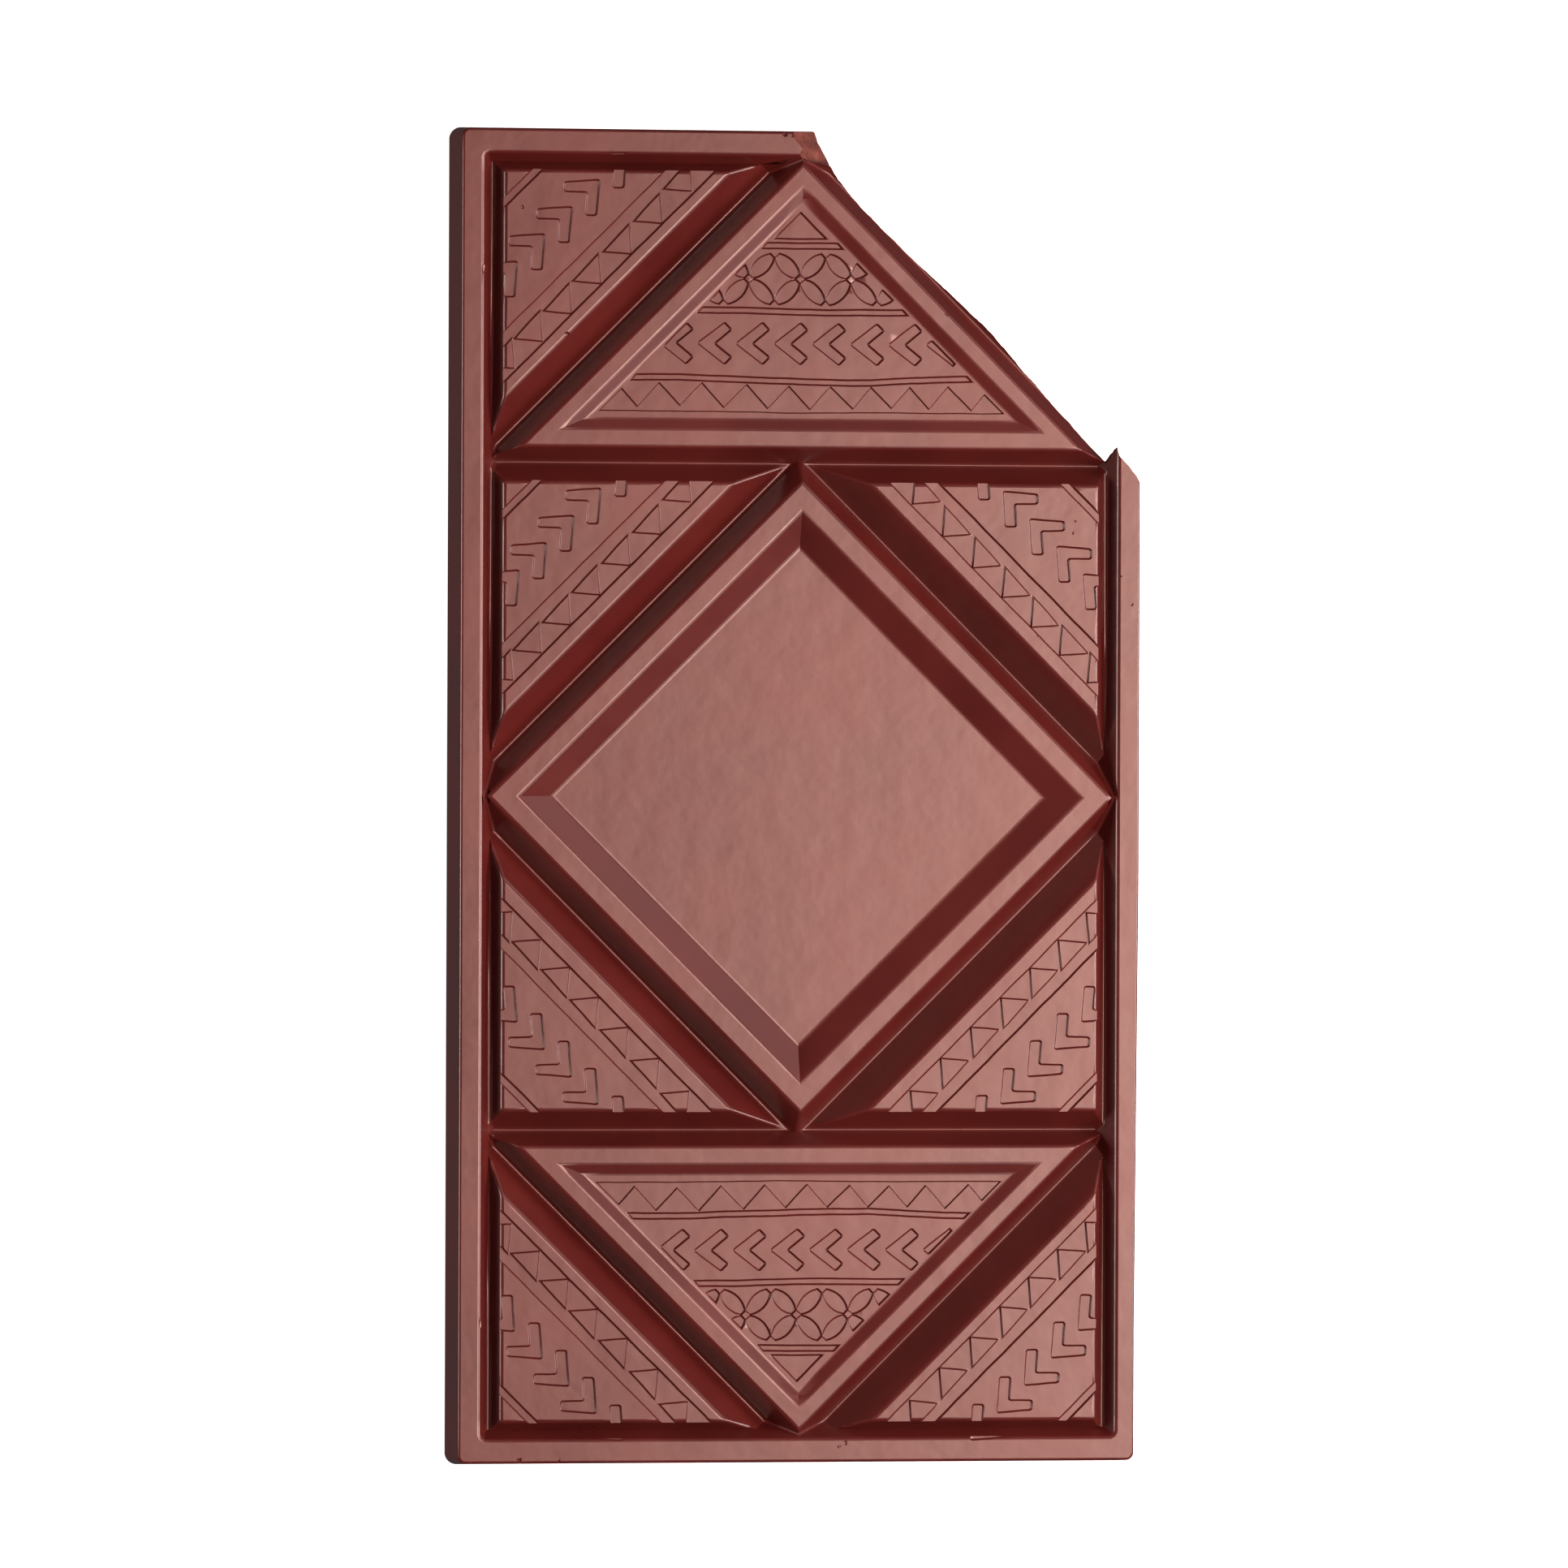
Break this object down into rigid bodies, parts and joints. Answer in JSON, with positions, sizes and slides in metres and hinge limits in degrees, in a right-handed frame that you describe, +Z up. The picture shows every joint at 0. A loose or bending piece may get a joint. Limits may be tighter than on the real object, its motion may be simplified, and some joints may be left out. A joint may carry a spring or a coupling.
{
  "type": "chocolate bar",
  "caption": "Moulded dark chocolate bar with a bordered face of raised panels, a central diamond and sunk geometric ornament, one corner panel broken off.",
  "frame": {"origin": "middle of the bar's underside", "axes": "+X across the bar, towards the broken side; +Y along the bar, towards the broken end; +Z up out of the moulded face"},
  "size_m": [0.0786, 0.151, 0.008],
  "materials": {
    "chocolate": "satin"
  },
  "bodies": {
    "root": {"bar": "chocolate"}
  },
  "joints": []
}
